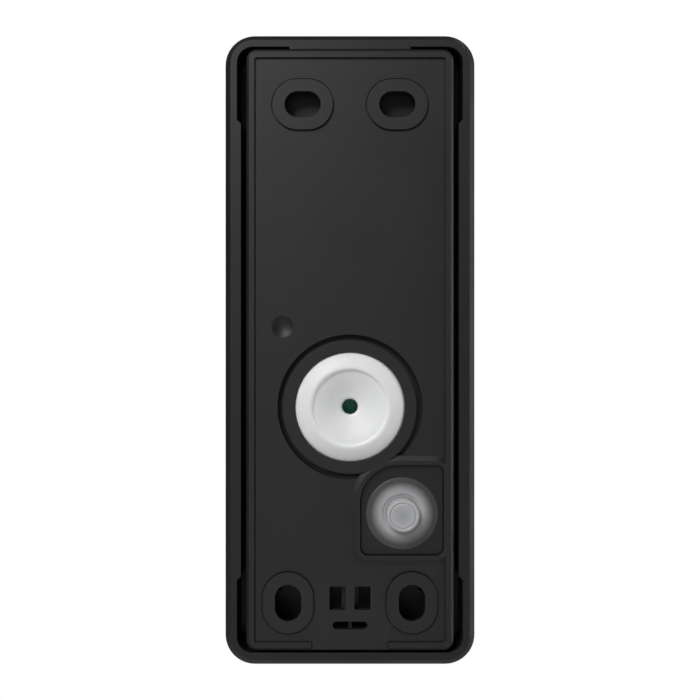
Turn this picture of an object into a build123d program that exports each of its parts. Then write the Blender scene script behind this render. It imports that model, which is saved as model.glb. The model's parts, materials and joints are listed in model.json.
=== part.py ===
"""Video doorbell clipped on its wall bracket.

Millimetres, +Z up. The wall is the plane Y = 0 and the doorbell stands off it towards -Y, so every depth below
is a distance in front of the wall and increases towards the visitor. X = 0, Z = 0 is the middle of the wall plane.
"""

import os
from math import atan, cos, degrees, radians, sin

from build123d import *

# ---------------------------------------------------------------- driving dimensions
CASE_W, CASE_H, CASE_R = 56.7, 143.0, 6.7
CASE_WALL = 2.5
CASE_BACK, PARTING, SHADOW_GAP, CASE_FRONT = 0.6, 15.8, 0.3, 28.0
FRONT_WALL = 2.0
BACK_EDGE, FRONT_EDGE_R = 1.25, 3.2

POCKET_W, POCKET_H, POCKET_Z, POCKET_R = 51.2, 137.3, 0.05, 3.6
POCKET_FLOOR, FLOOR_T = 9.0, 1.8
RAIL_W, RAIL_HALF_H = 0.9, 51.3
LIP_HALF_W, LIP_GAP = 13.7, 0.1

BRACKET_W, BRACKET_H, BRACKET_R, BRACKET_EDGE = 46.9, 136.0, 2.4, 0.65
BRACKET_FACE, BRACKET_PLATE, BRACKET_SKIRT, SKIRT_T = 0.45, 2.4, 8.0, 1.3
BORDER_INNER_W, BORDER_INNER_H, BORDER_INNER_R = 43.2, 132.2, 0.6
DRAIN_HALF_W = 8.75

TOP_SLOT_X, TOP_SLOT_Z, TOP_SLOT_L, TOP_SLOT_W = 10.7, 55.5, 8.2, 5.9
LOW_SLOT_X, LOW_SLOT_Z, LOW_SLOT_L, LOW_SLOT_W = 14.0, -57.15, 8.3, 5.95
SLOT_BOSS, HEAD_SEAT, HEAD_DEPTH = 2.75, 1.9, 1.2
GROOVE_W, GROOVE_DEPTH = 0.27, 0.3
BORDER_GROOVE_W, BORDER_GROOVE_DEPTH = 0.2, 0.12
HATCH_X, HATCH_W, HATCH_Z = 2.85, 3.6, (-58.85, -53.55)
TIE_Z, TIE_L, TIE_W, TIE_BAR_W = -62.35, 7.9, 1.8, 0.8
DIMPLE_X, DIMPLE_Z, DIMPLE_R, DIMPLE_DEPTH = 15.3, 5.3, 4.3, 0.8
STIFFENER_Z, STIFFENER_FAR, DETENT_Z = (38.0, 24.0, 8.0), 3.4, (-40.0, 40.0)

CABLE_Z, ANNULUS_R, MOAT_W, MOAT_DEPTH, GROMMET_R = -12.9, 15.0, 1.4, 0.85, 12.45
GROMMET_NECK_R, GROMMET_SEAT, GROMMET_HOLE_R, GROMMET_BACK = 10.5, 1.1, 1.75, 3.9

TAMPER_X, TAMPER_Z = -11.83, -37.05
TAMPER_WINDOW = (-21.2, -2.3, -46.5, -25.95)
WINDOW_R, WINDOW_BIG_R, COLLAR, COLLAR_FOOT = 1.8, 8.5, 0.9, 2.1
TAMPER_PAD, TAMPER_PAD_T, TAMPER_PAD_GAP, TAMPER_WALL = 0.9, 1.6, 0.15, 1.4
SKIRT_R, MOAT_R, PLUNGER_R, PLUNGER_TRAVEL = 8.17, 4.25, 3.7, 2.8
UPPER_STEP = 4.4
WIRING = (-11.0, 11.0, -19.0, 9.0)
VENT_Z, VENT_R = 34.0, 1.5

CAMERA_Z, CAMERA_WINDOW_R, WINDOW_NEAR, WINDOW_FAR = 44.0, 15.3, 27.6, 29.0
PANE_X, PANE_W, PANE_H, PANE_NEAR = (-4.6, 0.0), 4.2, 6.0, 17.4
LENS_BACK, LENS_STEP, LENS_FRONT, LENS_R = 18.9, 22.0, 26.6, 6.9
LED_NEAR, LED_FAR, LED_CIRCLE_R, LED_EAR_X = 21.6, 22.4, 11.2, 16.8
BUTTON_Z, BUTTON_R, BUTTON_NEAR, BUTTON_FAR = -22.0, 10.5, 26.2, 29.5
RING_R, RING_NEAR, RING_FAR, RING_LED_R = 13.0, 26.9, 29.1, 11.9
BUTTON_BOARD, BUTTON_POST = 19.6, 12.6
SPEAKER_Z, SPEAKER_W, SPEAKER_H, SPEAKER_WALL = -54.0, 28.0, 17.0, 1.4
SPEAKER_NEAR, SPEAKER_FAR = 20.4, 25.4
SOUND_SLOT_L, SOUND_SLOT_W, SOUND_PITCH = 20.0, 1.3, 2.4
MIC_Z, MIC_HOLE_R = 14.7, 0.6
FASCIA_W, FASCIA_H, FASCIA_R, FASCIA_NEAR, FASCIA_FAR = 48.8, 134.4, 3.9, 27.2, 28.5
BOARD_BACK, BOARD_T = 14.4, 1.0
CASE_SCREWS = [(x * s, z) for x, z in ((18.6, -52.3), (20.8, 20.0), (18.6, 62.0)) for s in (-1, 1)]
LOCK_DEPTH = 5.4

NODES = {}


# ---------------------------------------------------------------- helpers
def prism(sketch, near, far):
    """The sketch, drawn in X and Z, pushed from depth near to depth far."""
    return extrude(Plane.XZ.offset(near) * sketch, far - near, dir=(0, -1, 0))


def disc(x, z, r, near, far):
    return prism(Pos(x, z) * Circle(r), near, far)


def tube(x, z, r_out, r_in, near, far):
    return disc(x, z, r_out, near, far) - disc(x, z, r_in, near - 1, far + 1)


def slab(x0, x1, z0, z1, near, far, r=0.0):
    shape = RectangleRounded(x1 - x0, z1 - z0, r) if r else Rectangle(x1 - x0, z1 - z0)
    return prism(Pos((x0 + x1) / 2, (z0 + z1) / 2) * shape, near, far)


def both_ways(s, inner, outer, z0, z1, near, far, r=0.0):
    """A slab from inner to outer on the side s of the middle plane."""
    return slab(min(s * inner, s * outer), max(s * inner, s * outer), z0, z1, near, far, r)


def plate(w, h, r, near, far, z=0.0):
    return prism(Pos(0, z) * RectangleRounded(w, h, r), near, far)


def obround(x, z, length, width, near, far, upright=False):
    return prism(Pos(x, z) * SlotOverall(length, width, rotation=90 if upright else 0), near, far)


def rod_z(x, depth, r, z0, z1):
    """A round bar along Z."""
    return Pos(x, -depth, z0) * Cylinder(r, z1 - z0, align=(Align.CENTER, Align.CENTER, Align.MIN))


def turned(x, z, *edges):
    """A closed profile of (radius, depth) edges, turned about the depth axis through x, z."""
    return Pos(x, 0, z) * revolve(make_face(Curve() + list(edges)), Axis.Y)


def at(r, depth):
    """A point of a turned profile."""
    return (r, -depth, 0)


def line(*points):
    return Polyline([at(*p) for p in points])


def arc(a, b, c):
    return ThreePointArc(at(*a), at(*b), at(*c))


def rim(solid, depth):
    """The edges of the solid that lie in the plane at this depth."""
    return [e for e in solid.edges() if abs(e.bounding_box().min.Y + depth) < 1e-4
            and abs(e.bounding_box().max.Y + depth) < 1e-4]


def screw(x, z, head_r, head_near, head_far, shank_r, tip, slot_w=0.7):
    """A pan-head screw whose head faces the wall, with a cross recess."""
    body = disc(x, z, head_r, head_near, head_far) + disc(x, z, shank_r, head_far, tip)
    cut = slab(x - head_r * 0.6, x + head_r * 0.6, z - slot_w / 2, z + slot_w / 2, head_near - 1, head_near + 0.7)
    cut += slab(x - slot_w / 2, x + slot_w / 2, z - head_r * 0.6, z + head_r * 0.6, head_near - 1, head_near + 0.7)
    return body - cut


def group(items):
    return Compound(children=[s for item in items for s in item.solids()])


def keep(name, shape):
    NODES[name] = shape


# ---------------------------------------------------------------- wall bracket
def window_outline(grow):
    """The tamper window with one large corner next to the cable gland, offset outwards by grow."""
    x0, x1, z0, z1 = TAMPER_WINDOW
    face = Polygon((x0, z0), (x1, z0), (x1, z1), (x0, z1), align=None).face()
    by_gland = [v for v in face.vertices() if v.X > x1 - 1e-6 and v.Y > z1 - 1e-6]
    face = face.fillet_2d(WINDOW_BIG_R, by_gland)
    square = [v for v in face.vertices() if v.X < x0 + 1e-6 or v.Y < z0 + 1e-6]
    face = face.fillet_2d(WINDOW_R, square)
    return offset(Sketch() + face, grow) if grow else Sketch() + face


SLOTS = [(s * x, z, length, width, upright) for s in (-1, 1) for x, z, length, width, upright in (
    (TOP_SLOT_X, TOP_SLOT_Z, TOP_SLOT_L, TOP_SLOT_W, False), (LOW_SLOT_X, LOW_SLOT_Z, LOW_SLOT_L, LOW_SLOT_W, True))]


def slot_outline(slot, grow, near, far):
    x, z, length, width, upright = slot
    return obround(x, z, length + 2 * grow, width + 2 * grow, near, far, upright)


def make_bracket():
    body = plate(BRACKET_W, BRACKET_H, BRACKET_R, 0, BRACKET_SKIRT, POCKET_Z)
    body = chamfer(rim(body, 0), BRACKET_EDGE)
    face = RectangleRounded(BORDER_INNER_W, BORDER_INNER_H, BORDER_INNER_R)
    face += Pos(0, -BORDER_INNER_H / 2) * Rectangle(2 * DRAIN_HALF_W, 10)
    body -= prism(face, -1, BRACKET_FACE)
    body -= prism(face - offset(face, -BORDER_GROOVE_W), 0, BRACKET_FACE + BORDER_GROOVE_DEPTH)
    body -= plate(BRACKET_W - 2 * SKIRT_T, BRACKET_H - 2 * SKIRT_T, 1.2, BRACKET_PLATE, BRACKET_SKIRT + 1, POCKET_Z)

    low, floor, outer = BRACKET_FACE, BRACKET_FACE + MOAT_DEPTH, ANNULUS_R + MOAT_W
    body -= turned(0, CABLE_Z, line((outer, low), (outer, low - 1), (ANNULUS_R, low - 1), (ANNULUS_R, floor)),
                   line((ANNULUS_R, floor), (ANNULUS_R + 0.4, floor)),
                   arc((ANNULUS_R + 0.4, floor), (outer - 0.35, low + MOAT_DEPTH * 0.55), (outer, low)))
    pads = disc(0, CABLE_Z, ANNULUS_R, 0, 2)
    slope = degrees(atan((COLLAR_FOOT - COLLAR) / BRACKET_FACE))
    collar = Plane.XZ.offset(BRACKET_FACE) * window_outline(COLLAR_FOOT)
    pads += extrude(collar, BRACKET_FACE, dir=(0, 1, 0), taper=slope) + prism(window_outline(COLLAR_FOOT), 0.4, 2)
    body += pads

    through = BRACKET_PLATE + 1
    for slot in SLOTS:
        body -= slot_outline(slot, GROOVE_W + SLOT_BOSS, BRACKET_FACE, BRACKET_FACE + GROOVE_DEPTH)
        body += slot_outline(slot, SLOT_BOSS, 0, 2)
        body -= slot_outline(slot, 0, -1, through) + slot_outline(slot, HEAD_SEAT, HEAD_DEPTH, through)
    body -= prism(window_outline(0), -1, through)
    body -= disc(0, CABLE_Z, GROMMET_R, -1, GROMMET_SEAT)
    body -= disc(0, CABLE_Z, GROMMET_NECK_R, -1, through)
    body -= obround(0, TIE_Z, TIE_L, TIE_W, -1, through)
    body += slab(-TIE_BAR_W / 2, TIE_BAR_W / 2, TIE_Z - TIE_W / 2, TIE_Z + TIE_W / 2, 1.7, BRACKET_PLATE)
    sphere_y = DIMPLE_R - DIMPLE_DEPTH - BRACKET_FACE
    body -= Pos(DIMPLE_X, sphere_y, DIMPLE_Z) * Sphere(DIMPLE_R)

    z0, z1 = HATCH_Z
    for s in (-1, 1):
        body -= both_ways(s, HATCH_X - HATCH_W / 2, HATCH_X + HATCH_W / 2, z0, z1, -1, through, 0.3)
        rib = both_ways(s, 1.0, 1.95, z0 - 1.35, z1 + 0.95, 2.2, 6.4)
        body += rib - slab(-5, 5, z0 - 0.05, z1 + 0.05, 2.0, 3.3)
        for z in STIFFENER_Z:
            body += both_ways(s, 6.0, 22.3, z - 0.5, z + 0.5, 2.3, STIFFENER_FAR)
        for z in DETENT_Z:
            body += both_ways(s, 23.3, 23.9, z - 4, z + 4, 5.6, 7.0)
    body -= rod_z(0, LOCK_DEPTH, 1.7, -69, -66)
    keep("mounting_bracket", body)


def make_grommet():
    outer, neck, seat, back = GROMMET_R - 0.05, GROMMET_NECK_R - 0.05, GROMMET_SEAT - 0.02, GROMMET_BACK
    profile = (
        arc((outer, 0.55), (11.3, -0.75), (9.35, -1.45)),
        arc((9.35, -1.45), (8.75, -1.62), (8.3, -1.2)),
        line((8.3, -1.2), (8.1, -0.45)),
        arc((8.1, -0.45), (5.2, 0.95), (2.5, 1.35)),
        arc((2.5, 1.35), (1.9, 1.55), (GROMMET_HOLE_R, 2.0)),
        line((GROMMET_HOLE_R, 2.0), (GROMMET_HOLE_R, 3.4), (4.0, 3.4), (8.0, 2.6), (9.0, back), (12.2, back),
             (12.2, 2.5), (neck, 2.5), (neck, seat), (outer, seat), (outer, 0.55)),
    )
    keep("cable_grommet", turned(0, CABLE_Z, *profile))


# ---------------------------------------------------------------- rear housing
def make_rear_housing():
    body = plate(CASE_W, CASE_H, CASE_R, CASE_BACK, PARTING)
    body = chamfer(rim(body, CASE_BACK), BACK_EDGE)
    body -= plate(POCKET_W, POCKET_H, POCKET_R, 0, POCKET_FLOOR, POCKET_Z)
    body -= plate(CASE_W - 2 * CASE_WALL, CASE_H - 2 * CASE_WALL, 4.0, POCKET_FLOOR + FLOOR_T, PARTING + 1)

    half = POCKET_W / 2
    for s in (-1, 1):
        rail = Polygon((s * (half + 0.5), -RAIL_HALF_H - 1.4), (s * (half + 0.5), RAIL_HALF_H + 1.4),
                       (s * (half - RAIL_W), RAIL_HALF_H), (s * (half - RAIL_W), -RAIL_HALF_H), align=None)
        body += prism(rail, CASE_BACK, POCKET_FLOOR + 0.2)
    lip_z = POCKET_Z + BRACKET_H / 2 + LIP_GAP
    body += slab(-LIP_HALF_W, LIP_HALF_W, lip_z, 69.0, CASE_BACK, 3.0)

    pad_in, floor_in = TAMPER_PAD + TAMPER_PAD_T, POCKET_FLOOR + FLOOR_T
    body += prism(window_outline(-TAMPER_PAD_GAP), TAMPER_PAD, POCKET_FLOOR + 0.5)
    body -= prism(window_outline(-TAMPER_PAD_GAP - TAMPER_WALL), pad_in, floor_in + 1)
    body -= disc(TAMPER_X, TAMPER_Z, 4.05, 0, pad_in + 1)
    body += slab(-17.5, 17.5, 50.9, 60.1, UPPER_STEP, POCKET_FLOOR + 0.5, 1.5)
    body -= slab(-12.5, 12.5, 52.6, 58.4, UPPER_STEP + FLOOR_T, floor_in + 1, 1.0)
    body -= slab(*WIRING, 0, floor_in + 1, 1.5)
    for x, z in CASE_SCREWS:
        body += disc(x, z, 4.0, floor_in - 0.2, 14.0)
        if z < -50:
            body += slab(x - 3.4, x + 3.4, z - 5.4, z + 3.4, floor_in - 0.2, 14.0, 1.0)
            body -= slab(x - 2.4, x + 2.4, z - 4.4, z + 2.4, 0, 12.4, 0.4)
        body -= disc(x, z, 2.5 if z < -50 else 2.7, 0, 12.4)
        body -= disc(x, z, 1.35, 0, 15.0)
    for x, z in MAIN_POSTS + CAMERA_POSTS:
        body += disc(x, z, 2.2, floor_in - 0.2, BOARD_BACK)
        body -= disc(x, z, 0.85, 11.4, BOARD_BACK + 1)
    for x, z in TERMINAL_POSTS:
        body -= disc(x, z, 0.85, 9.6, floor_in + 1)
    body -= disc(0, VENT_Z, VENT_R, 0, floor_in + 1)
    body -= rod_z(0, LOCK_DEPTH, 2.3, -72, -68)
    keep("rear_housing", body)


MAIN_POSTS = [(-13.5, 20.5), (13.5, 20.5), (13.5, -43.0), (13.5, -25.0)]
CAMERA_POSTS = [(-15.5, 33.5), (15.5, 33.5), (-15.5, 54.5), (15.5, 54.5)]
TERMINAL_POSTS = [(-13.0, 6.0), (13.0, 6.0), (-13.0, -16.0), (13.0, -16.0)]


def make_lock():
    keep("security_screw_insert", rod_z(0, LOCK_DEPTH, 2.28, -70.6, -68.6) - rod_z(0, LOCK_DEPTH, 1.5, -72, -68))
    body = rod_z(0, LOCK_DEPTH, 1.42, -70.5, -68.2)
    body -= rod_z(0, LOCK_DEPTH, 1.42, -68.92, -68.48) - rod_z(0, LOCK_DEPTH, 0.95, -69, -68)
    drive = Pos(0, -LOCK_DEPTH, -70.6) * extrude(RegularPolygon(0.75, 6), 1.2)
    keep("security_screw", body - drive)
    keep("security_screw_seal", Pos(0, -LOCK_DEPTH, -68.7) * Torus(1.18, 0.2))


def make_rear_fixings():
    keep("case_screws", group(screw(x, z, 2.4, 10.6, 12.4, 1.05, 20.5) for x, z in CASE_SCREWS))
    keep("vent_membrane", disc(0, VENT_Z, 3.2, POCKET_FLOOR + FLOOR_T, 11.0))
    seal = plate(CASE_W - 1.6, CASE_H - 1.6, CASE_R - 0.8, PARTING, PARTING + SHADOW_GAP)
    keep("case_gasket", seal - plate(CASE_W - 4.2, CASE_H - 4.2, 4.4, PARTING - 1, PARTING + 1))


# ---------------------------------------------------------------- tamper plunger and switch
def make_tamper():
    pad, under, top = TAMPER_PAD, TAMPER_PAD + TAMPER_PAD_T, -PLUNGER_TRAVEL
    keep("tamper_boot", turned(
        TAMPER_X, TAMPER_Z,
        line((SKIRT_R, pad), (SKIRT_R, pad - 0.12)),
        arc((SKIRT_R, pad - 0.12), (6.9, pad - 0.58), (4.75, pad - 0.86)),
        arc((4.75, pad - 0.86), (4.4, pad - 0.81), (MOAT_R, pad - 0.6)),
        line((MOAT_R, pad - 0.6), (MOAT_R, pad), (SKIRT_R, pad)),
    ))
    cap = disc(TAMPER_X, TAMPER_Z, PLUNGER_R, top, under - 0.2)
    cap = fillet(rim(cap, top), 0.6)
    cap -= tube(TAMPER_X, TAMPER_Z, 2.75, 2.45, top - 1, top + 0.25)
    cap -= disc(TAMPER_X, TAMPER_Z, 2.0, top + 1.8, under)
    keep("tamper_plunger_cap", cap)
    flange = under + 0.05
    keep("tamper_pin", disc(TAMPER_X, TAMPER_Z, 1.97, top + 1.82, flange + 0.1)
         + disc(TAMPER_X, TAMPER_Z, 4.35, flange, flange + 0.75))
    stem = flange + 0.8
    keep("tamper_switch_stem", disc(TAMPER_X, TAMPER_Z, 1.25, stem, stem + 5.3))
    body = slab(TAMPER_X - 3, TAMPER_X + 3, TAMPER_Z - 3, TAMPER_Z + 3, 7.2, BOARD_BACK, 0.3)
    keep("tamper_switch", body - disc(TAMPER_X, TAMPER_Z, 1.3, 7, stem + 5.35 + PLUNGER_TRAVEL))


# ---------------------------------------------------------------- electronics behind the floor
def board(x0, x1, z0, z1, near, holes, hole_r=1.1, r=1.2):
    body = slab(x0, x1, z0, z1, near, near + BOARD_T, r)
    for x, z in holes:
        body -= disc(x, z, hole_r, near - 1, near + BOARD_T + 1)
    return body


def make_boards():
    keep("terminal_board", board(-15.0, 15.0, -20.5, 10.5, 11.0, TERMINAL_POSTS))
    floor_in = POCKET_FLOOR + FLOOR_T
    ring = slab(-15.0, 15.0, -20.5, 10.5, floor_in, 11.0, 1.2) - slab(-11.4, 11.4, -19.0, 9.0, 10, 12, 1.0)
    for x, z in TERMINAL_POSTS:
        ring -= disc(x, z, 1.2, 10, 12)
    keep("terminal_gasket", ring)
    keep("terminal_board_screws", group(
        disc(x, z, 0.8, 9.9, 12.0) + disc(x, z, 1.7, 12.0, 13.1) for x, z in TERMINAL_POSTS))
    block = slab(-8.0, 8.0, -1.5, 7.5, 6.0, 11.0, 0.5)
    for x in (-4.0, 4.0):
        block -= disc(x, 3.6, 2.6, 5, 8.2)
        block -= disc(x, 3.6, 1.3, 5, 10.0)
        block -= slab(x - 1.6, x + 1.6, -3, 2.2, 8.3, 10.0)
    keep("terminal_block", block)
    keep("terminal_screws", group(screw(x, 3.6, 2.4, 6.9, 8.2, 1.2, 9.8) for x in (-4.0, 4.0)))
    keep("board_header", group(slab(x, x + 0.64, -17.4, -16.76, 12.0, BOARD_BACK) for x in (-6, -3.46, -0.92, 1.62)))

    keep("main_board", board(-16.0, 16.0, -46.0, 24.0, BOARD_BACK, MAIN_POSTS))
    keep("camera_board", board(-18.0, 18.0, 31.0, 57.0, BOARD_BACK, CAMERA_POSTS))
    front = BOARD_BACK + BOARD_T
    posts = MAIN_POSTS + CAMERA_POSTS
    keep("board_screws", group(disc(x, z, 0.8, 12.0, front) + disc(x, z, 1.8, front, front + 1.2) for x, z in posts))
    keep("processor", slab(-9.0, 3.0, 2.0, 14.0, front, front + 1.2, 0.4))
    shield = slab(-14.0, 6.0, -40.0, -22.0, front, front + 2.4, 0.5)
    keep("wifi_shield", shield - slab(-13.7, 5.7, -39.7, -22.3, front - 1, front + 2.1, 0.3))
    keep("wifi_module", slab(-12.0, 4.0, -38.0, -24.0, front, front + 1.4, 0.3))
    keep("power_capacitors", group(disc(9.0, z, 3.15, front, front + 7.4) for z in (-3.0, 4.5, 12.0)))
    keep("power_inductor", slab(-12.0, -5.0, -13.0, -6.0, front, front + 3.0, 1.0))
    keep("camera_flex", slab(-4.0, 4.0, 16.5, 36.0, front, front + 0.2))


# ---------------------------------------------------------------- camera
def pane(x, z, inset, near, far):
    half_w, half_h = PANE_W / 2 - inset, PANE_H / 2 - inset
    return slab(x - half_w, x + half_w, z - half_h, z + half_h, near, far)


def make_camera():
    front = BOARD_BACK + BOARD_T
    z = CAMERA_Z
    keep("image_sensor", slab(-4.2, 4.2, z - 3.6, z + 3.6, front, front + 0.9))
    holder = slab(-13.0, 13.0, z - 8.0, z + 8.0, front, 20.6, 1.0)
    holder -= slab(-5.5, 5.5, z - 5.5, z + 5.5, front - 1, 17.2)
    holder -= slab(-11.0, 11.0, z - 4.4, z + 4.4, 17.1, 18.5)
    holder -= disc(0, z, 4.95, 16, 21)
    keep("lens_holder", holder)
    frame = slab(-7.6, 3.0, z - 4.0, z + 4.0, PANE_NEAR, PANE_NEAR + 0.8, 0.4)
    for x in PANE_X:
        frame -= pane(x, z, 0.0, 17, PANE_NEAR + 0.4) + pane(x, z, 0.3, 17, 19)
    keep("ir_filter_frame", frame)
    keep("ir_filter_panes", group(pane(x, z, 0.02, PANE_NEAR, PANE_NEAR + 0.38) for x in PANE_X))

    barrel = disc(0, z, 4.9, LENS_BACK, LENS_STEP) + disc(0, z, LENS_R, LENS_STEP, LENS_FRONT)
    barrel -= disc(0, z, 3.3, 18, 22.2)
    barrel -= disc(0, z, 4.4, LENS_STEP, 24.4)
    barrel -= disc(0, z, 5.6, 24.4, 27.0)
    keep("lens_barrel", barrel)
    dome = disc(0, z, 5.5, 24.5, 27.0) & Pos(0, -10.5, z) * Sphere(16.05)
    keep("lens_elements", group([disc(0, z, 3.25, 19.6, 21.4), disc(0, z, 4.35, 22.3, 24.2), dome]))

    ring = disc(0, z, 14.9, LED_NEAR, LED_FAR) + slab(-18.6, 18.6, z - 2.2, z + 2.2, LED_NEAR, LED_FAR, 1.0)
    ring -= disc(0, z, LENS_R + 0.2, 21, 23)
    for s in (-1, 1):
        ring -= disc(s * LED_EAR_X, z, 0.9, 21, 23)
    keep("ir_led_board", ring)
    spots = [(LED_CIRCLE_R * cos(radians(a)), z + LED_CIRCLE_R * sin(radians(a))) for a in range(30, 390, 60)]
    keep("ir_leds", group(slab(x - 1.4, x + 1.4, w - 1.4, w + 1.4, LED_FAR, LED_FAR + 1.0, 0.2)
                          + disc(x, w, 1.15, LED_FAR + 0.9, LED_FAR + 1.7) for x, w in spots))
    keep("light_block_ring", tube(0, z, 8.4, 7.2, LED_FAR, WINDOW_NEAR))
    keep("ir_board_screws", group(disc(x, z, 0.7, LED_NEAR, 24.5) + disc(x, z, 1.5, LED_NEAR - 1.1, LED_NEAR)
                                  for x in (-LED_EAR_X, LED_EAR_X)))
    glass = disc(0, z, CAMERA_WINDOW_R, WINDOW_NEAR, WINDOW_FAR)
    keep("camera_window", fillet(rim(glass, WINDOW_FAR), 0.5))
    keep("light_sensor", slab(-1.0, 1.0, z - 13.9, z - 12.9, LED_FAR, LED_FAR + 0.7))


# ---------------------------------------------------------------- button
BUTTON_POSTS = [(sx * BUTTON_POST, BUTTON_Z + sz * BUTTON_POST) for sx in (-1, 1) for sz in (-1, 1)]
RING_LEDS = [(RING_LED_R * cos(radians(a)), BUTTON_Z + RING_LED_R * sin(radians(a))) for a in range(0, 360, 45)]


def make_button():
    z = BUTTON_Z
    cap = disc(0, z, BUTTON_R, BUTTON_NEAR, BUTTON_FAR)
    cap = fillet(rim(cap, BUTTON_FAR), 0.8)
    dish_r, dish_depth = 90.0, 0.35
    cap -= Pos(0, -(BUTTON_FAR + dish_r - dish_depth), z) * Sphere(dish_r)
    cap += disc(0, z, 12.3, 25.0, 25.9) + disc(0, z, BUTTON_R, 25.8, 26.4) + disc(0, z, 2.2, 23.5, 25.2)
    keep("button_cap", cap)
    ring = tube(0, z, RING_R, BUTTON_R + 0.25, RING_NEAR, RING_FAR)
    ring = fillet([e for e in rim(ring, RING_FAR) if e.radius > 12], 0.5)
    keep("button_light_ring", ring)
    keep("button_seal", tube(0, z, 13.7, 2.5, 23.7, 24.2))
    near, far = BUTTON_BOARD, BUTTON_BOARD + BOARD_T
    keep("button_board", board(-15.0, 15.0, z - 15.0, z + 15.0, near, BUTTON_POSTS, 0.9))
    keep("button_board_screws", group(disc(x, w, 0.7, near, 22.8) + disc(x, w, 1.5, near - 1.0, near)
                                      for x, w in BUTTON_POSTS))
    body = slab(-3.1, 3.1, z - 3.1, z + 3.1, far, 22.7, 0.3)
    keep("button_switch", body - disc(0, z, 1.75, 21.3, 24))
    keep("button_switch_stem", disc(0, z, 1.7, 22.0, 23.45))
    keep("button_ring_leds", group(slab(x - 0.8, x + 0.8, w - 0.8, w + 0.8, far, far + 0.7) for x, w in RING_LEDS))


# ---------------------------------------------------------------- speaker, microphone, antenna
def speaker_shape(inset, near, far, r):
    return plate(SPEAKER_W - 2 * inset, SPEAKER_H - 2 * inset, r, near, far, SPEAKER_Z)


def make_sound():
    z, wall_in = SPEAKER_Z, CASE_FRONT - FRONT_WALL
    frame = speaker_shape(0, SPEAKER_NEAR, SPEAKER_FAR, 4.0)
    frame -= speaker_shape(SPEAKER_WALL, SPEAKER_NEAR + 1, SPEAKER_FAR + 1, 3.0)
    keep("speaker_frame", frame - disc(0, z, 5.4, 19, 22))
    keep("speaker_cone", speaker_shape(SPEAKER_WALL + 0.1, 24.3, 24.8, 2.9) + disc(0, z, 5.0, 24.7, 25.1))
    keep("speaker_magnet", disc(0, z, 5.3, 17.8, 23.6))
    keep("speaker_gasket", speaker_shape(0, SPEAKER_FAR, wall_in, 4.0) - speaker_shape(SPEAKER_WALL, 25, 27, 3.0))
    keep("microphone", slab(-1.9, 1.9, MIC_Z - 1.5, MIC_Z + 1.5, 24.3, 25.4, 0.2))
    keep("microphone_gasket", slab(-2.6, 2.6, MIC_Z - 2.5, MIC_Z + 2.7, 25.4, wall_in, 0.8)
         - disc(0, MIC_Z, MIC_HOLE_R, 25, 27))
    keep("wifi_antenna", slab(-14.5, 12.0, 61.5, 67.0, 25.2, 26.0, 0.4))


# ---------------------------------------------------------------- front housing and fascia
SPEAKER_SLOTS = [SPEAKER_Z + SOUND_PITCH * i for i in (-2, -1, 0, 1, 2)]


def make_front():
    near = PARTING + SHADOW_GAP
    wall_in = CASE_FRONT - FRONT_WALL
    body = plate(CASE_W, CASE_H, CASE_R, near, CASE_FRONT)
    body = fillet(rim(body, CASE_FRONT), FRONT_EDGE_R)
    body -= plate(CASE_W - 2 * CASE_WALL, CASE_H - 2 * CASE_WALL, 4.0, near - 1, wall_in)
    for x, z in CASE_SCREWS:
        body += disc(x, z, 3.2, 14.2, wall_in + 0.5)
        body -= disc(x, z, 1.1, 13, 22.0)
    for x, z in BUTTON_POSTS:
        body += disc(x, z, 1.9, 20.6, wall_in + 0.5)
        body -= disc(x, z, 0.75, 20, 23.5)
    for s in (-1, 1):
        body += disc(s * LED_EAR_X, CAMERA_Z, 1.7, LED_FAR, wall_in + 0.5)
        body -= disc(s * LED_EAR_X, CAMERA_Z, 0.75, 22, 25.0)
    body -= plate(FASCIA_W + 0.2, FASCIA_H + 0.2, FASCIA_R + 0.1, FASCIA_NEAR, 30)
    body -= disc(0, CAMERA_Z, 14.2, 25, 30)
    body -= disc(0, CAMERA_Z, CAMERA_WINDOW_R + 0.1, WINDOW_NEAR - 0.02, 30)
    body += tube(0, BUTTON_Z, 14.9, 13.8, 23.4, wall_in + 0.2)
    body -= disc(0, BUTTON_Z, BUTTON_R + 0.25, 24, 30)
    body -= disc(0, BUTTON_Z, RING_R + 0.1, RING_NEAR - 0.02, 30)
    for x, z in RING_LEDS:
        body -= disc(x, z, 0.8, 25, 27)
    for z in SPEAKER_SLOTS:
        body -= obround(0, z, SOUND_SLOT_L, SOUND_SLOT_W, 25, 30)
    body -= disc(0, MIC_Z, MIC_HOLE_R + 0.1, 25, 30)
    keep("front_housing", body)

    panel = plate(FASCIA_W, FASCIA_H, FASCIA_R, FASCIA_NEAR + 0.02, FASCIA_FAR)
    panel = fillet(rim(panel, FASCIA_FAR), 0.4)
    panel -= disc(0, CAMERA_Z, CAMERA_WINDOW_R + 0.1, 26, 30)
    panel -= disc(0, BUTTON_Z, RING_R + 0.1, 26, 30)
    for z in SPEAKER_SLOTS:
        panel -= obround(0, z, SOUND_SLOT_L, SOUND_SLOT_W, 26, 30)
    panel -= disc(0, MIC_Z, MIC_HOLE_R, 26, 30)
    keep("front_fascia", panel)


def make_wires():
    """Two leads from the speaker's magnet end to the main board."""
    leads = []
    for x in (-2.0, 2.0):
        path = Polyline((x, -17.3, -50.0), (x, -16.6, -48.2), (x, -16.0, -44.6))
        leads.append(sweep(Plane(path @ 0, z_dir=path % 0) * Circle(0.5), path=path, transition=Transition.ROUND))
    keep("speaker_leads", group(leads))


for make in (make_bracket, make_grommet, make_rear_housing, make_lock, make_rear_fixings, make_tamper, make_boards,
             make_camera, make_button, make_sound, make_front, make_wires):
    make()

os.makedirs("parts", exist_ok=True)
for name, shape in NODES.items():
    export_step(shape, f"parts/{name}.step")
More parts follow.
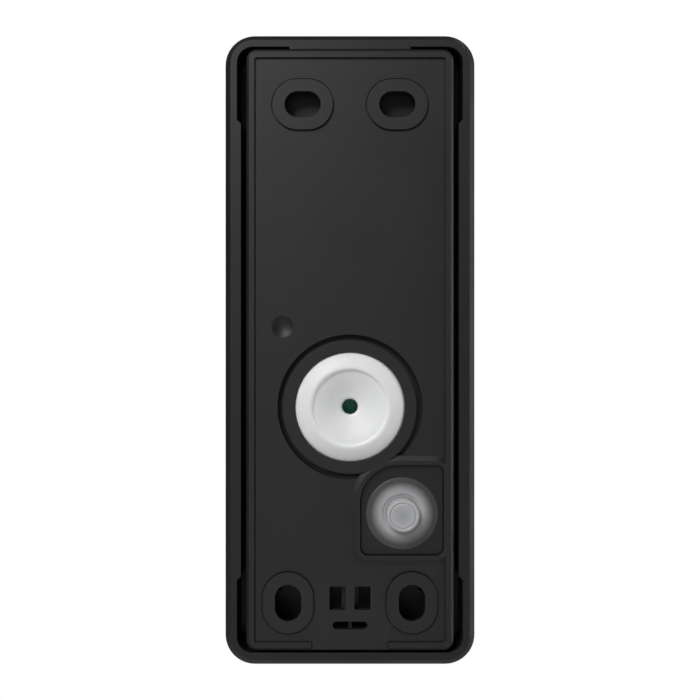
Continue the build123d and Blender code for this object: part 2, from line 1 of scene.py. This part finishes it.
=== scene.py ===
"""Looks of the video doorbell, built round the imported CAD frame.

Blender 4.5, in metres with +Z up and the wall plane at Y = 0. Sizes in millimetres are multiplied by MM.
"""

import json
import math

import bmesh
import bpy
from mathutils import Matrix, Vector


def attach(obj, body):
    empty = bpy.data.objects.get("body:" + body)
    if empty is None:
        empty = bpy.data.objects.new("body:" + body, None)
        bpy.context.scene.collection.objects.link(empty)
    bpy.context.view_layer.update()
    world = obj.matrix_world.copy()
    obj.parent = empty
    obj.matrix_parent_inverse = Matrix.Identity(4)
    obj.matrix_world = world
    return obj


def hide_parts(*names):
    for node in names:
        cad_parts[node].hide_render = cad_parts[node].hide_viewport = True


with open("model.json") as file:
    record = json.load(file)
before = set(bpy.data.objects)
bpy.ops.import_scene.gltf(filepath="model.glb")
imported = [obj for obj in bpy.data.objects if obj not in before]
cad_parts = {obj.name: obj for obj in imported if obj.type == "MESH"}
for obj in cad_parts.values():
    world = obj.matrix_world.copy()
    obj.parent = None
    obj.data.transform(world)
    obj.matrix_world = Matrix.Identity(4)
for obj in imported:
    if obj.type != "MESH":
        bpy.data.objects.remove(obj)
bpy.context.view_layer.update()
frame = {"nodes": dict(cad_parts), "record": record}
nodes = frame["nodes"]
MM = 0.001

# Middle of the cable gland and of the tamper plunger, in mm.
CABLE_Z = -12.9
TAMPER_X, TAMPER_Z = -11.83, -37.05

# The camera's distance from the wall plane, and half the width of that plane that it sees.
DISTANCE, HALF_VIEW = 0.200, 0.07902
SENSOR_MM = 36.0

# name, place, width, watts, height (the width again where it is None)
LIGHTS = (
    ("key", (0.42, 0.68, 0.66), 0.55, 8.7, None),
    ("low_fill", (0.12, 0.75, -0.10), 0.5, 0.5, None),
    ("strip", (-0.8, 0.05, 0.05), 0.18, 2.2, 0.7),
    ("front_key", (-0.5, -0.9, 0.7), 0.5, 9.0, None),
)
STUDIO_FILL = 0.06
FLOOR_Z, FLOOR_HALF, FLOOR_COLOR = -0.30, 4.0, (0.5, 0.5, 0.5, 1)

# A faint glow of the green boards, in place of the light that reaches them through the translucent silicone.
BOARD_GLOW = (0.0006, 0.022, 0.012)


# ------------------------------------------------------------------ materials
class Mat:
    """A node material on one Principled shader, with helpers that add procedural detail."""

    def __init__(self, name, color, rough, metal=0.0, ior=1.5, spec=0.5):
        self.m = bpy.data.materials.new(name)
        self.m.use_nodes = True
        self.t = self.m.node_tree
        self.n = self.t.nodes
        self.b = self.n["Principled BSDF"]
        self.b.inputs["Base Color"].default_value = (*color, 1.0)
        self.b.inputs["Roughness"].default_value = rough
        self.b.inputs["Metallic"].default_value = metal
        self.b.inputs["IOR"].default_value = ior
        self.b.inputs["Specular IOR Level"].default_value = spec
        self.coord = self.n.new("ShaderNodeTexCoord").outputs["Object"]
        self.height = None

    def link(self, a, b):
        self.t.links.new(a, b)

    def math(self, op, a, b=0.0, clamp=False):
        node = self.n.new("ShaderNodeMath")
        node.operation = op
        node.use_clamp = clamp
        for i, v in enumerate((a, b)):
            if hasattr(v, "is_output"):
                self.link(v, node.inputs[i])
            else:
                node.inputs[i].default_value = v
        return node.outputs[0]

    def noise(self, per_mm, detail=2.0, rough=0.5, stretch=None):
        """Noise with about per_mm features to the millimetre."""
        node = self.n.new("ShaderNodeTexNoise")
        node.inputs["Scale"].default_value = per_mm / MM
        node.inputs["Detail"].default_value = detail
        node.inputs["Roughness"].default_value = rough
        vec = self.coord
        if stretch:
            mapping = self.n.new("ShaderNodeMapping")
            mapping.inputs["Scale"].default_value = stretch
            self.link(vec, mapping.inputs["Vector"])
            vec = mapping.outputs[0]
        self.link(vec, node.inputs["Vector"])
        return node.outputs["Fac"]

    def spread(self, fac, low, high, a=0.3, b=0.7):
        """fac from a..b mapped to low..high."""
        node = self.n.new("ShaderNodeMapRange")
        for name, v in zip(("From Min", "From Max", "To Min", "To Max"), (a, b, low, high)):
            node.inputs[name].default_value = v
        self.link(fac, node.inputs["Value"])
        return node.outputs[0]

    def blend(self, fac, a, b):
        """a where fac is 0, b where it is 1."""
        node = self.n.new("ShaderNodeMix")
        node.data_type = "RGBA"
        if hasattr(fac, "is_output"):
            self.link(fac, node.inputs["Factor"])
        else:
            node.inputs["Factor"].default_value = fac
        for sock, v in ((node.inputs[6], a), (node.inputs[7], b)):
            if hasattr(v, "is_output"):
                self.link(v, sock)
            else:
                sock.default_value = (*v, 1.0)
        return node.outputs[2]

    def bump(self, height, mm, strength=1.0):
        """Adds a bump of about mm millimetres over any bump already there."""
        node = self.n.new("ShaderNodeBump")
        node.inputs["Strength"].default_value = strength
        node.inputs["Distance"].default_value = mm * MM
        self.link(height, node.inputs["Height"])
        if self.height is not None:
            self.link(self.height, node.inputs["Normal"])
        self.height = node.outputs[0]
        self.link(self.height, self.b.inputs["Normal"])
        return self

    def soften(self, mm):
        """Rounds the shading over sharp CAD edges."""
        node = self.n.new("ShaderNodeBevel")
        node.samples = 4
        node.inputs["Radius"].default_value = mm * MM
        self.height = node.outputs[0]
        self.link(self.height, self.b.inputs["Normal"])
        return self

    def edge(self):
        """About 0 on flats, rising at convex edges."""
        geo = self.n.new("ShaderNodeNewGeometry")
        return self.spread(geo.outputs["Pointiness"], 0.0, 1.0, 0.51, 0.62)

    def base(self, socket):
        self.link(socket, self.b.inputs["Base Color"])

    def roughness(self, socket):
        self.link(socket, self.b.inputs["Roughness"])


def moulded(name, color, rough, grain=4.0, depth=0.012, spec=0.5, wear=1.6):
    """Moulded plastic with a fine spark-eroded grain, slow gloss changes and lighter handled edges."""
    m = Mat(name, color, rough, spec=spec)
    m.soften(0.12)
    m.bump(m.noise(grain, 2.0, 0.6), depth, 0.55)
    m.bump(m.noise(grain * 0.12, 1.0), depth * 2.5, 0.25)
    cloud = m.noise(0.06, 3.0)
    m.roughness(m.spread(cloud, rough - 0.05, rough + 0.06))
    darker, lighter = [c * 0.82 for c in color], [c * 1.2 for c in color]
    tone = m.blend(m.spread(m.noise(grain * 0.7, 2.0), 0.0, 1.0), darker, lighter)
    m.base(m.blend(m.math("MULTIPLY", m.edge(), 0.5), tone, [min(1, c * wear + 0.004) for c in color]))
    return m


def gloss(name, color, rough=0.12, coat=0.6):
    m = Mat(name, color, rough, spec=0.5)
    m.soften(0.1)
    m.bump(m.noise(0.25, 2.0), 0.01, 0.15)
    m.b.inputs["Coat Weight"].default_value = coat
    m.b.inputs["Coat Roughness"].default_value = 0.05
    m.roughness(m.spread(m.noise(0.5, 4.0), rough * 0.85, rough * 1.2))
    m.base(m.blend(m.spread(m.noise(8.0, 1.0), 0.0, 0.3), color, [c * 1.3 + 0.002 for c in color]))
    return m


def silicone(name, color, deep, rough, scatter, dust=0.25):
    """Silicone rubber: soft sheen, faint mottling, a little dust in the grain."""
    m = Mat(name, color, rough, ior=1.41, spec=0.45)
    m.bump(m.noise(3.0, 3.0, 0.6), 0.012, 0.35)
    m.bump(m.noise(0.35, 2.0), 0.03, 0.2)
    m.b.inputs["Subsurface Weight"].default_value = scatter
    m.b.inputs["Subsurface Radius"].default_value = (0.0016, 0.0015, 0.0014)
    m.b.inputs["Subsurface Scale"].default_value = 1.0
    m.roughness(m.spread(m.noise(0.2, 3.0), rough - 0.06, rough + 0.08))
    m.base(m.blend(m.spread(m.noise(0.5, 4.0, 0.6), 0.0, dust), color, deep))
    return m


def round_tones(m, x, z, core, color_core, solid, thin, color_thin):
    """Paints a moulding by its distance from the axis through x, z, all in mm.

    It stands in for translucency: within core a pin shows through, and from solid out to thin the silicone
    thins over a black pad.
    """
    part = m.n.new("ShaderNodeSeparateXYZ")
    m.link(m.coord, part.inputs[0])
    dx = m.math("SUBTRACT", part.outputs["X"], x * MM)
    dz = m.math("SUBTRACT", part.outputs["Z"], z * MM)
    r2 = m.math("ADD", m.math("MULTIPLY", dx, dx), m.math("MULTIPLY", dz, dz))
    r = m.math("SQRT", r2)
    body = m.b.inputs["Base Color"].links[0].from_socket
    middle = m.blend(m.spread(r, 0.0, 1.0, 0.0, core * MM), color_core, body)
    m.base(m.blend(m.spread(r, 0.0, 1.0, solid * MM, thin * MM), middle, color_thin))


def metal(name, color, rough, stretch=None, per_mm=5.0, depth=0.006):
    m = Mat(name, color, rough, metal=1.0)
    m.soften(0.06)
    m.bump(m.noise(per_mm, 3.0, 0.6, stretch), depth, 0.4)
    m.roughness(m.spread(m.noise(per_mm * 0.3, 3.0, 0.6, stretch), rough * 0.7, rough * 1.35))
    m.base(m.blend(m.spread(m.noise(0.6, 3.0), 0.0, 0.5), color, [c * 0.72 for c in color]))
    return m


def solder_mask(name, color):
    """A circuit board: glossy mask over faint traces, with the faint glow described at BOARD_GLOW."""
    m = Mat(name, color, 0.32, spec=0.5)
    wave = m.n.new("ShaderNodeTexWave")
    wave.wave_type, wave.bands_direction = "BANDS", "X"
    wave.inputs["Scale"].default_value = 260.0
    wave.inputs["Distortion"].default_value = 2.0
    m.link(m.coord, wave.inputs["Vector"])
    track = m.spread(wave.outputs["Fac"], 0.0, 1.0, 0.72, 0.8)
    m.bump(track, 0.03, 0.5)
    m.bump(m.noise(6.0, 2.0), 0.01, 0.3)
    m.base(m.blend(track, color, [c * 1.9 + 0.004 for c in color]))
    m.roughness(m.spread(m.noise(0.5, 2.0), 0.24, 0.42))
    m.b.inputs["Emission Color"].default_value = (*BOARD_GLOW, 1.0)
    m.b.inputs["Emission Strength"].default_value = 1.0
    return m


def glassy(name, color, trans, rough=0.03):
    m = Mat(name, color, rough, ior=1.52)
    m.b.inputs["Transmission Weight"].default_value = trans
    m.roughness(m.spread(m.noise(0.4, 4.0), rough, rough + 0.06))
    m.bump(m.noise(0.15, 1.0), 0.01, 0.08)
    m.base(m.blend(m.spread(m.noise(0.8, 3.0), 0.0, 0.25), color, [c * 0.8 for c in color]))
    return m


def fibrous(name, color, rough, per_mm=3.0, depth=0.05):
    m = Mat(name, color, rough, spec=0.3)
    m.bump(m.noise(per_mm, 5.0, 0.7), depth, 0.8)
    m.roughness(m.spread(m.noise(per_mm, 2.0), rough - 0.08, min(1.0, rough + 0.08)))
    m.base(m.blend(m.spread(m.noise(per_mm * 1.5, 3.0), 0.0, 0.7), color, [c * 0.6 for c in color]))
    return m


LOOKS = {
    "bracket_plastic": moulded("bracket_plastic", (0.0075, 0.0075, 0.008), 0.5, spec=0.48),
    "case_plastic": moulded("case_plastic", (0.005, 0.005, 0.0055), 0.5, spec=0.46),
    "inner_plastic": moulded("inner_plastic", (0.012, 0.012, 0.012), 0.55),
    "chip_black": moulded("chip_black", (0.014, 0.014, 0.015), 0.6, grain=8.0),
    "white_plastic": moulded("white_plastic", (0.7, 0.7, 0.68), 0.45, wear=1.1),
    "fascia_gloss": gloss("fascia_gloss", (0.006, 0.006, 0.007)),
    "button_gloss": gloss("button_gloss", (0.02, 0.02, 0.022), 0.25, 0.2),
    "diffuser": gloss("diffuser", (0.62, 0.68, 0.72), 0.3, 0.0),
    "led_lens": gloss("led_lens", (0.75, 0.75, 0.6), 0.15, 0.2),
    "flex_amber": gloss("flex_amber", (0.45, 0.18, 0.03), 0.25, 0.0),
    "wire_red": gloss("wire_red", (0.35, 0.012, 0.012), 0.4, 0.0),
    "silicone_white": silicone("silicone_white", (0.87, 0.875, 0.88), (0.82, 0.825, 0.83), 0.42, 0.3),
    "silicone_grey": silicone("silicone_grey", (0.47, 0.475, 0.485), (0.42, 0.425, 0.435), 0.4, 0.3),
    "rubber_black": silicone("rubber_black", (0.012, 0.012, 0.012), (0.02, 0.02, 0.02), 0.7, 0.0),
    "window_glass": glassy("window_glass", (0.3, 0.31, 0.34), 0.92, 0.01),
    "lens_glass": glassy("lens_glass", (0.55, 0.6, 0.75), 0.9),
    "sensor_glass": glassy("sensor_glass", (0.08, 0.1, 0.2), 0.3),
    "board_green": solder_mask("board_green", (0.002, 0.11, 0.055)),
    "steel": metal("steel", (0.6, 0.6, 0.6), 0.32, (1, 0.2, 1)),
    "black_steel": metal("black_steel", (0.03, 0.03, 0.032), 0.4),
    "brass": metal("brass", (0.72, 0.5, 0.2), 0.3),
    "tin_plate": metal("tin_plate", (0.66, 0.66, 0.64), 0.35),
    "can_aluminium": metal("can_aluminium", (0.72, 0.73, 0.75), 0.4),
    "ferrite": fibrous("ferrite", (0.03, 0.03, 0.032), 0.6, 6.0, 0.02),
    "foam_black": fibrous("foam_black", (0.015, 0.015, 0.015), 0.9),
    "paper_cone": fibrous("paper_cone", (0.03, 0.03, 0.033), 0.85),
    "membrane_white": fibrous("membrane_white", (0.75, 0.75, 0.75), 0.7, 8.0, 0.01),
}
round_tones(LOOKS["silicone_grey"], TAMPER_X, TAMPER_Z, core=2.2, color_core=(0.35, 0.355, 0.365),
            solid=4.5, thin=7.1, color_thin=(0.072, 0.072, 0.075))
for entry in frame["record"]["subparts"]:
    obj = nodes[entry["node"]]
    obj.data.materials.clear()
    obj.data.materials.append(LOOKS[entry["material_slot"]].m)


# ------------------------------------------------------------------ mesh helpers
def smooth_line(points, steps):
    """Catmull-Rom samples through (r, y, kind) points; a kind of 1 keeps a corner there."""
    out = []
    for i in range(len(points) - 1):
        a, b = points[i], points[i + 1]
        before = points[i - 1] if i and not a[2] else a
        after = points[i + 2] if i + 2 < len(points) and not b[2] else b
        for s in range(steps):
            t = s / steps
            t2, t3 = t * t, t * t * t
            out.append(tuple(0.5 * (2 * a[k] + (b[k] - before[k]) * t
                                    + (2 * before[k] - 5 * a[k] + 4 * b[k] - after[k]) * t2
                                    + (3 * a[k] - before[k] - 3 * b[k] + after[k]) * t3) for k in (0, 1)))
    out.append(points[-1][:2])
    return out


def lathe(name, x, z, points, look, body, replaces, steps=6, around=160, closed=True):
    """Turns a profile of (radius, y, corner) in mm about the Y axis through x, z."""
    line = smooth_line([*points, points[0]] if closed else points, steps)
    if closed:
        line = line[:-1]
    bm = bmesh.new()
    rings = []
    for k in range(around):
        a = 2 * math.pi * k / around
        rings.append([bm.verts.new((x * MM + r * MM * math.cos(a), y * MM, z * MM + r * MM * math.sin(a)))
                      for r, y in line])
    count = len(line)
    for k in range(around):
        p, q = rings[k], rings[(k + 1) % around]
        for i in range(count if closed else count - 1):
            j = (i + 1) % count
            bm.faces.new((p[i], p[j], q[j], q[i]))
    bmesh.ops.remove_doubles(bm, verts=bm.verts, dist=1e-7)
    bmesh.ops.recalc_face_normals(bm, faces=bm.faces)
    piece(name, bm, look, body, replaces)


def piece(name, bm, look, body, replaces):
    """Makes a smooth-shaded piece that rides on the body and takes the place of the CAD nodes in replaces."""
    mesh = bpy.data.meshes.new(name)
    bm.to_mesh(mesh)
    bm.free()
    for poly in mesh.polygons:
        poly.use_smooth = True
    obj = bpy.data.objects.new(name, mesh)
    bpy.context.scene.collection.objects.link(obj)
    mesh.materials.append(LOOKS[look].m)
    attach(obj, body)
    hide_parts(*replaces)


# ------------------------------------------------------------------ silicone pieces
lathe("cable_gland", 0, CABLE_Z, [
    (12.42, -1.1, 1), (12.42, -0.55, 1), (12.1, -0.15, 0), (11.5, 0.35, 0), (10.7, 0.85, 0), (9.9, 1.25, 0),
    (9.3, 1.5, 0), (8.9, 1.57, 0), (8.6, 1.48, 0), (8.4, 1.25, 0), (8.27, 0.95, 1), (7.9, 0.84, 0),
    (7.0, 0.58, 0), (5.6, 0.05, 0), (4.2, -0.5, 0), (3.0, -0.9, 0), (2.3, -1.12, 0), (1.95, -1.35, 0),
    (1.8, -1.8, 0), (1.76, -2.6, 0), (1.8, -3.4, 1), (4.0, -3.4, 0), (8.0, -2.7, 0), (9.0, -3.8, 0),
    (12.1, -3.85, 1), (12.1, -2.95, 1), (10.44, -2.9, 1), (10.44, -1.15, 1), (12.42, -1.15, 1)],
    "silicone_white", "bracket", ["cable_grommet"])

lathe("plunger_boot", TAMPER_X, TAMPER_Z, [
    (8.15, -0.89, 1), (8.15, -0.8, 0), (7.8, -0.7, 0), (7.0, -0.6, 0), (6.3, -0.44, 0), (5.7, -0.24, 0),
    (5.2, -0.09, 0), (4.85, -0.06, 0), (4.6, -0.12, 0), (4.4, -0.25, 0), (4.2, -0.36, 0), (4.0, -0.42, 0),
    (3.84, -0.45, 0), (3.76, -0.52, 0), (3.75, -0.89, 1)],
    "silicone_grey", "doorbell_unit", ["tamper_boot"])
lathe("plunger_cap", TAMPER_X, TAMPER_Z, [
    (0.0, 2.67, 0), (1.2, 2.69, 0), (2.1, 2.75, 0), (2.5, 2.79, 0), (2.68, 2.71, 0), (2.8, 2.59, 0),
    (2.95, 2.69, 0), (3.15, 2.77, 0), (3.45, 2.65, 0), (3.64, 2.29, 0), (3.7, 1.69, 0), (3.7, -2.25, 1),
    (2.02, -2.25, 1), (2.02, 1.0, 1), (0.0, 1.0, 1)],
    "silicone_grey", "tamper_plunger", ["tamper_plunger_cap"], closed=False)


# ------------------------------------------------------------------ camera, floor and light
cam = bpy.data.cameras.new("camera")
cam.sensor_width = SENSOR_MM
cam.lens = SENSOR_MM / 2 * DISTANCE / HALF_VIEW
cam.clip_start = 0.01
camera = bpy.data.objects.new("camera", cam)
camera.location = (0, DISTANCE, 0)
camera.rotation_euler = (math.pi / 2, 0, math.pi)
bpy.context.scene.collection.objects.link(camera)
bpy.context.scene.camera = camera
bpy.context.scene.view_settings.view_transform = "Standard"


def area(name, place, size, watts, tall):
    """A rectangular light aimed at the origin."""
    light = bpy.data.lights.new(name, "AREA")
    light.shape = "RECTANGLE"
    light.size, light.size_y = size, tall or size
    light.energy = watts
    obj = bpy.data.objects.new(name, light)
    obj.location = place
    obj.rotation_euler = (-Vector(place)).to_track_quat("-Z", "Y").to_euler()
    bpy.context.scene.collection.objects.link(obj)


for row in LIGHTS:
    area(*row)

world = bpy.data.worlds.new("studio")
bpy.context.scene.world = world
world.use_nodes = True
wn, wl = world.node_tree.nodes, world.node_tree.links
seen = wn.new("ShaderNodeLightPath").outputs["Is Camera Ray"]
fill, white = wn["Background"], wn.new("ShaderNodeBackground")
fill.inputs["Color"].default_value = (1, 1, 1, 1)
fill.inputs["Strength"].default_value = STUDIO_FILL
white.inputs["Color"].default_value = (1, 1, 1, 1)
white.inputs["Strength"].default_value = 1.0
choose = wn.new("ShaderNodeMixShader")
wl.new(seen, choose.inputs[0])
wl.new(fill.outputs[0], choose.inputs[1])
wl.new(white.outputs[0], choose.inputs[2])
wl.new(choose.outputs[0], wn["World Output"].inputs["Surface"])

bm = bmesh.new()
bmesh.ops.create_grid(bm, x_segments=1, y_segments=1, size=FLOOR_HALF)
mesh = bpy.data.meshes.new("floor")
bm.to_mesh(mesh)
bm.free()
floor = bpy.data.objects.new("floor", mesh)
floor.location = (0, 0, FLOOR_Z)
bpy.context.scene.collection.objects.link(floor)
pale = bpy.data.materials.new("floor_pale")
pale.use_nodes = True
fn, fl = pale.node_tree.nodes, pale.node_tree.links
fn["Principled BSDF"].inputs["Base Color"].default_value = FLOOR_COLOR
fn["Principled BSDF"].inputs["Roughness"].default_value = 0.9
glow = fn.new("ShaderNodeEmission")
glow.inputs["Strength"].default_value = 1.0
pick = fn.new("ShaderNodeMixShader")
fl.new(fn.new("ShaderNodeLightPath").outputs["Is Camera Ray"], pick.inputs[0])
fl.new(fn["Principled BSDF"].outputs[0], pick.inputs[1])
fl.new(glow.outputs[0], pick.inputs[2])
fl.new(pick.outputs[0], fn["Material Output"].inputs["Surface"])
mesh.materials.append(pale)
